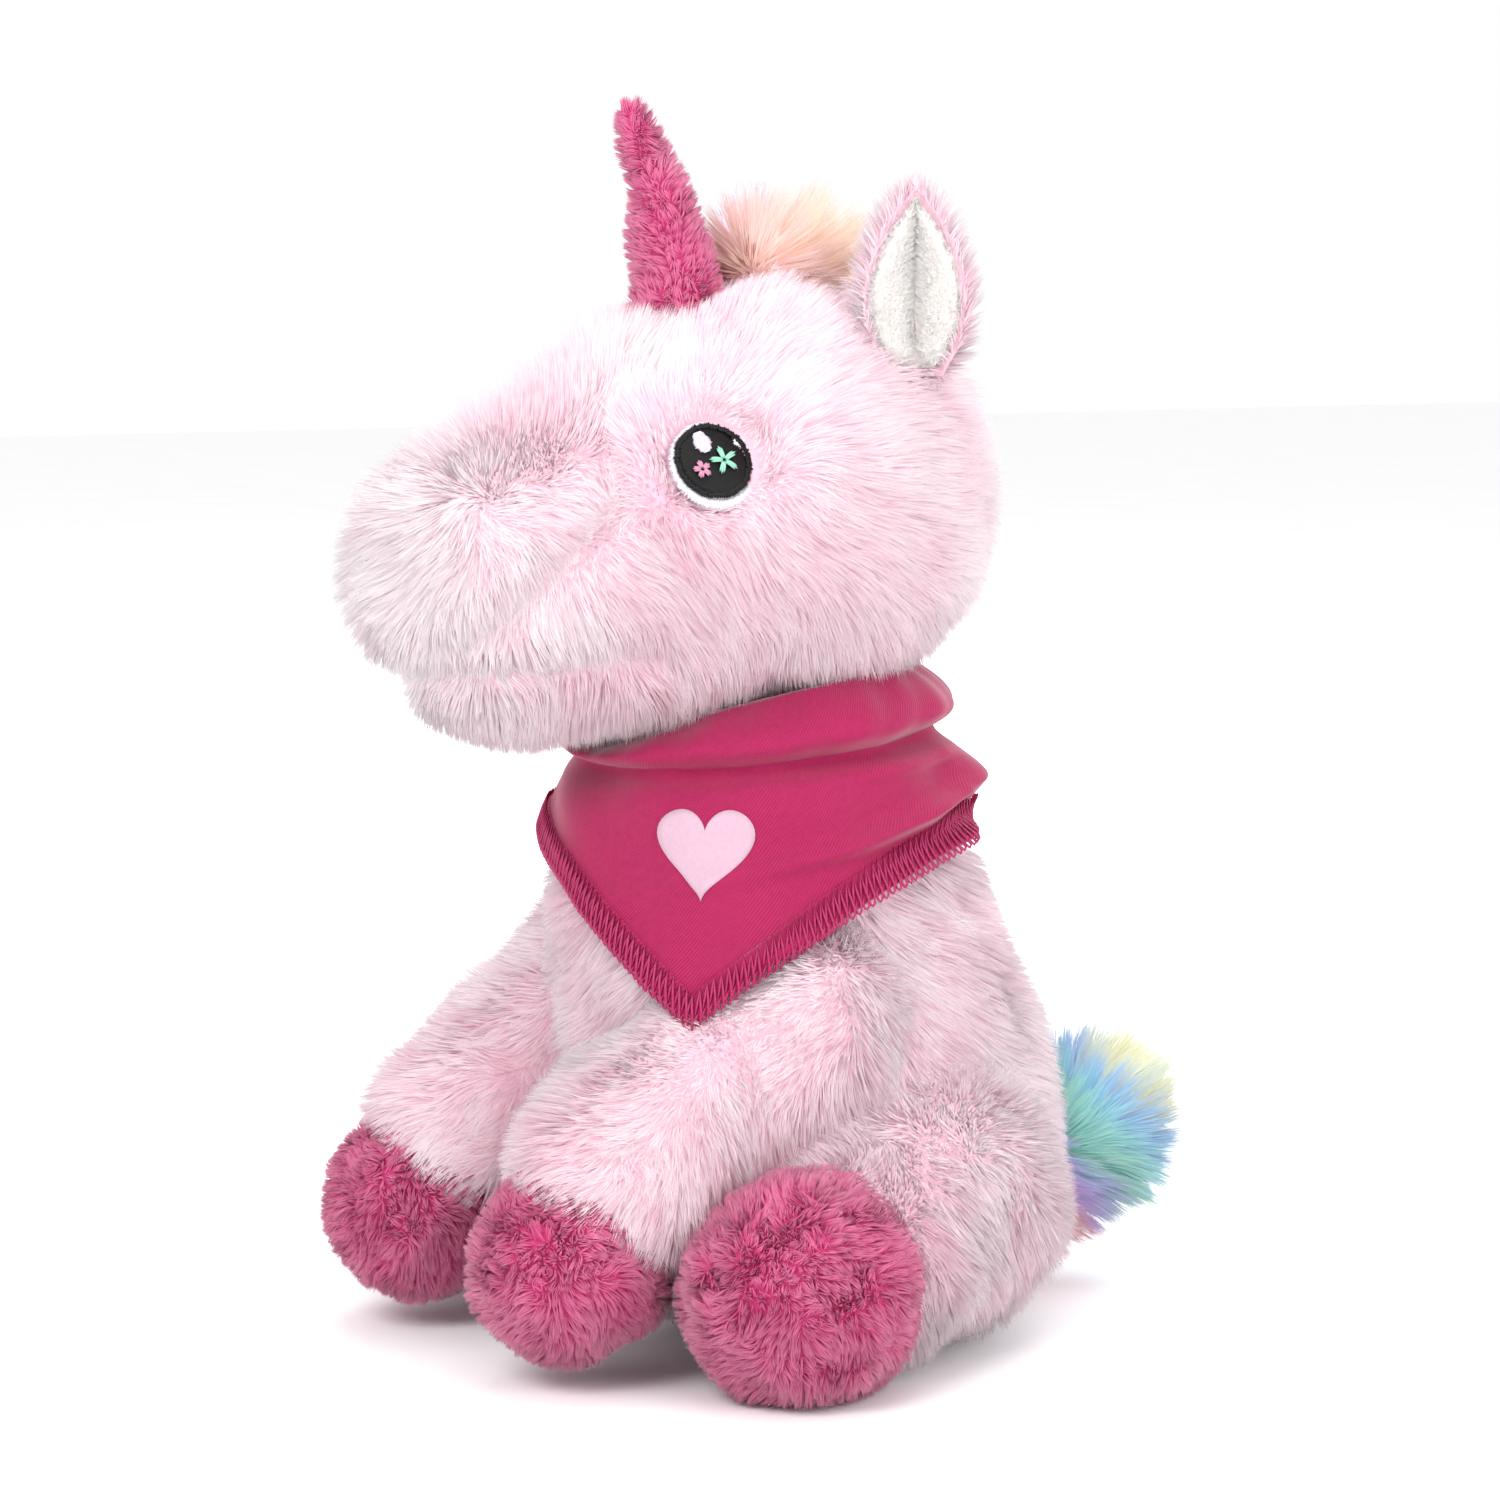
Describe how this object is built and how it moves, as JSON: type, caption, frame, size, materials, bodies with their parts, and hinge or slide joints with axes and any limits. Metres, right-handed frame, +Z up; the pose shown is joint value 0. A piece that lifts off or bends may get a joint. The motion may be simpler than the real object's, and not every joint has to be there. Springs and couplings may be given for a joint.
{
  "type": "plush unicorn",
  "caption": "Seated plush unicorn toy: stuffed torso, turning and nodding head, flexing legs, ears, horn and tail, and a triangular bandana round the neck.",
  "frame": {"origin": "centre of the flat seat under the torso, on the surface the toy sits on", "axes": "+Z up, the toy faces -Y, its left side is +X"},
  "size_m": [0.1602, 0.168, 0.2428],
  "materials": {
    "plush_pink": "matte",
    "plush_hot_pink": "matte",
    "plush_rainbow": "matte",
    "fibre_filling": "matte",
    "pellet_bag_cotton": "matte",
    "velour_white": "matte",
    "thread_white": "matte",
    "thread_black": "matte",
    "thread_lilac_white": "matte",
    "thread_mint": "matte",
    "thread_pink": "matte",
    "cotton_magenta": "matte",
    "hem_thread": "matte",
    "print_ink": "matte"
  },
  "bodies": {
    "torso": {"torso_skin": "plush_pink", "torso_stuffing": "fibre_filling", "seat_pellet_bag": "pellet_bag_cotton"},
    "neck": {"neck_skin": "plush_pink", "neck_stuffing": "fibre_filling"},
    "head": {"head_skin": "plush_pink", "muzzle_skin": "plush_pink", "chin_skin": "plush_pink", "head_stuffing": "fibre_filling", "eye_left_white": "thread_white", "eye_left_pupil": "thread_black", "eye_left_highlight": "thread_lilac_white", "eye_left_mint_star": "thread_mint", "eye_left_pink_star": "thread_pink", "eye_right_white": "thread_white", "eye_right_pupil": "thread_black", "eye_right_highlight": "thread_lilac_white", "eye_right_mint_star": "thread_mint", "eye_right_pink_star": "thread_pink", "mane_crest": "plush_rainbow", "mane_forelock": "plush_rainbow"},
    "horn": {"horn_skin": "plush_hot_pink", "horn_stuffing": "fibre_filling"},
    "ear_left": {"ear_left_outer": "plush_pink", "ear_left_lining": "velour_white"},
    "ear_right": {"ear_right_outer": "plush_pink", "ear_right_lining": "velour_white"},
    "tail": {"tail_skin": "plush_rainbow", "tail_stuffing": "fibre_filling"},
    "bandana": {"bandana_cloth": "cotton_magenta", "bandana_hem": "hem_thread", "bandana_print": "print_ink", "bandana_knot": "cotton_magenta", "bandana_tails": "cotton_magenta"},
    "front_leg_left": {"front_leg_left_skin": "plush_pink", "front_leg_left_stuffing": "fibre_filling", "front_leg_left_hoof_skin": "plush_hot_pink", "front_leg_left_hoof_stuffing": "fibre_filling"},
    "front_leg_right": {"front_leg_right_skin": "plush_pink", "front_leg_right_stuffing": "fibre_filling", "front_leg_right_hoof_skin": "plush_hot_pink", "front_leg_right_hoof_stuffing": "fibre_filling"},
    "hind_leg_left": {"hind_leg_left_skin": "plush_pink", "hind_leg_left_stuffing": "fibre_filling", "hind_leg_left_hoof_skin": "plush_hot_pink", "hind_leg_left_hoof_stuffing": "fibre_filling"},
    "hind_leg_right": {"hind_leg_right_skin": "plush_pink", "hind_leg_right_stuffing": "fibre_filling", "hind_leg_right_hoof_skin": "plush_hot_pink", "hind_leg_right_hoof_stuffing": "fibre_filling"}
  },
  "joints": [
    {"name": "neck_turn", "type": "hinge", "parent": "torso", "child": "neck", "pos_m": [0, -0.01, 0.10425], "axis": [0, 0, 1], "range_deg": [-25, 25], "stiffness_Nm_per_rad": 0.25},
    {"name": "head_nod", "type": "hinge", "parent": "neck", "child": "head", "pos_m": [0, -0.01, 0.165], "axis": [1, 0, 0], "range_deg": [-8, 6], "stiffness_Nm_per_rad": 3},
    {"name": "horn_tip", "type": "hinge", "parent": "head", "child": "horn", "pos_m": [0, -0.028, 0.202], "axis": [1, 0, 0], "range_deg": [-12, 12], "stiffness_Nm_per_rad": 0.06},
    {"name": "ear_left_fold", "type": "hinge", "parent": "head", "child": "ear_left", "pos_m": [0.0325, 0.006, 0.1895], "axis": [0.5299, 0.848, 0], "range_deg": [-8, 16], "stiffness_Nm_per_rad": 0.03},
    {"name": "ear_right_fold", "type": "hinge", "parent": "head", "child": "ear_right", "pos_m": [-0.0325, 0.006, 0.1895], "axis": [0.5299, -0.848, 0], "range_deg": [-8, 16], "stiffness_Nm_per_rad": 0.03},
    {"name": "front_leg_left_swing", "type": "hinge", "parent": "torso", "child": "front_leg_left", "pos_m": [0.028, -0.019, 0.064], "axis": [1, 0, 0], "range_deg": [-5, 6], "stiffness_Nm_per_rad": 0.4},
    {"name": "front_leg_right_swing", "type": "hinge", "parent": "torso", "child": "front_leg_right", "pos_m": [-0.028, -0.019, 0.064], "axis": [1, 0, 0], "range_deg": [-5, 6], "stiffness_Nm_per_rad": 0.4},
    {"name": "hind_leg_left_spread", "type": "hinge", "parent": "torso", "child": "hind_leg_left", "pos_m": [0.038, 0.006, 0.03], "axis": [0, 0, 1], "range_deg": [0, 18], "stiffness_Nm_per_rad": 0.2},
    {"name": "hind_leg_right_spread", "type": "hinge", "parent": "torso", "child": "hind_leg_right", "pos_m": [-0.038, 0.006, 0.03], "axis": [0, 0, -1], "range_deg": [0, 18], "stiffness_Nm_per_rad": 0.2},
    {"name": "tail_wag", "type": "hinge", "parent": "torso", "child": "tail", "pos_m": [0.002, 0.046, 0.023], "axis": [0, 0, 1], "range_deg": [-20, 20], "stiffness_Nm_per_rad": 0.06},
    {"name": "bandana_turn", "type": "hinge", "parent": "torso", "child": "bandana", "pos_m": [0, -0.01, 0.1], "axis": [0, 0, 1], "range_deg": [-60, 12]}
  ]
}
